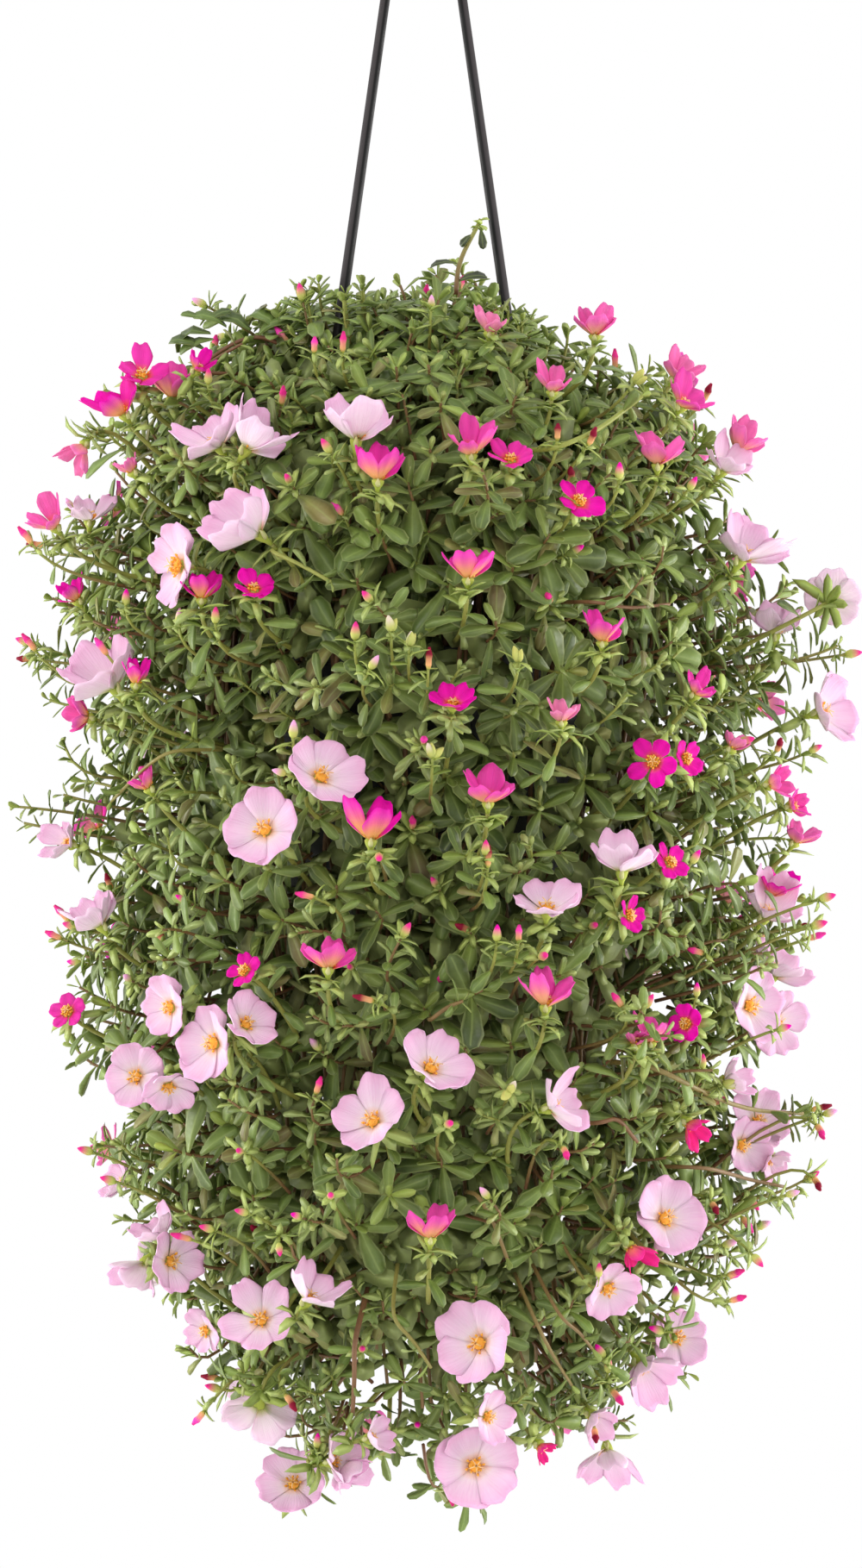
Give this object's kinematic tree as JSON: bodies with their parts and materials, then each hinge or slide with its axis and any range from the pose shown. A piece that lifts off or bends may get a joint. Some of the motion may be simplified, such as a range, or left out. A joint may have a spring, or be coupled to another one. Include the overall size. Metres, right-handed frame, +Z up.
{
  "type": "moss rose hanging basket",
  "caption": "Round plastic hanging pot of trailing moss rose with pale pink and magenta blooms, held by straight strands that meet under a hook",
  "frame": {"origin": "inner crown of the hook, the point that the basket hangs from", "axes": "+Z up, -Y towards the front of the picture, +X to the right of the picture"},
  "size_m": [0.5178, 0.448, 1.0722],
  "materials": {
    "leaf_green": "fleshy olive green leaves on green to reddish brown stems",
    "pale_petal": "thin satin petals, pale lilac pink with an orange yellow eye",
    "pot_plastic": "dark moulded plastic",
    "strand_plastic": "black moulded plastic with a fine lengthwise rib",
    "potting_soil": "dark crumbly potting soil"
  },
  "bodies": {
    "root": {"hanger_hook": "strand_plastic", "pot": "pot_plastic", "soil": "potting_soil", "strand_1": "strand_plastic", "strand_2": "strand_plastic", "strand_3": "strand_plastic", "strand_4": "strand_plastic", "spray_01": "leaf_green", "spray_02": "leaf_green", "spray_03": "leaf_green", "spray_04": "leaf_green", "spray_05": "leaf_green", "spray_06": "leaf_green", "spray_07": "leaf_green", "spray_08": "leaf_green", "spray_09": "leaf_green", "spray_10": "leaf_green", "spray_11": "leaf_green", "spray_12": "leaf_green", "spray_13": "leaf_green", "spray_14": "leaf_green", "spray_15": "leaf_green", "spray_16": "leaf_green", "crown_front": "leaf_green", "crown_right": "leaf_green", "crown_back": "leaf_green", "crown_left": "leaf_green", "bloom_pale_01": "pale_petal", "bloom_pale_02": "pale_petal", "bloom_pale_03": "pale_petal", "bloom_pale_04": "pale_petal", "bloom_pale_05": "pale_petal", "bloom_pale_06": "pale_petal", "bloom_pale_07": "pale_petal", "bloom_pale_08": "pale_petal", "bloom_pale_09": "pale_petal", "bloom_pale_10": "pale_petal", "bloom_pale_11": "pale_petal", "bloom_pale_12": "pale_petal", "bloom_pale_13": "pale_petal", "bloom_pale_14": "pale_petal", "bloom_pale_15": "pale_petal", "bloom_pale_16": "pale_petal", "bloom_pale_17": "pale_petal", "bloom_pale_18": "pale_petal", "bloom_pale_19": "pale_petal", "bloom_pale_20": "pale_petal", "bloom_pale_21": "pale_petal", "bloom_pale_22": "pale_petal", "bloom_pale_23": "pale_petal", "bloom_pale_24": "pale_petal", "bloom_pale_25": "pale_petal", "bloom_pale_26": "pale_petal", "bloom_pale_27": "pale_petal", "bloom_pale_28": "pale_petal", "bloom_pale_29": "pale_petal", "bloom_pale_30": "pale_petal", "bloom_pale_31": "pale_petal", "bloom_pale_32": "pale_petal"}
  },
  "joints": []
}
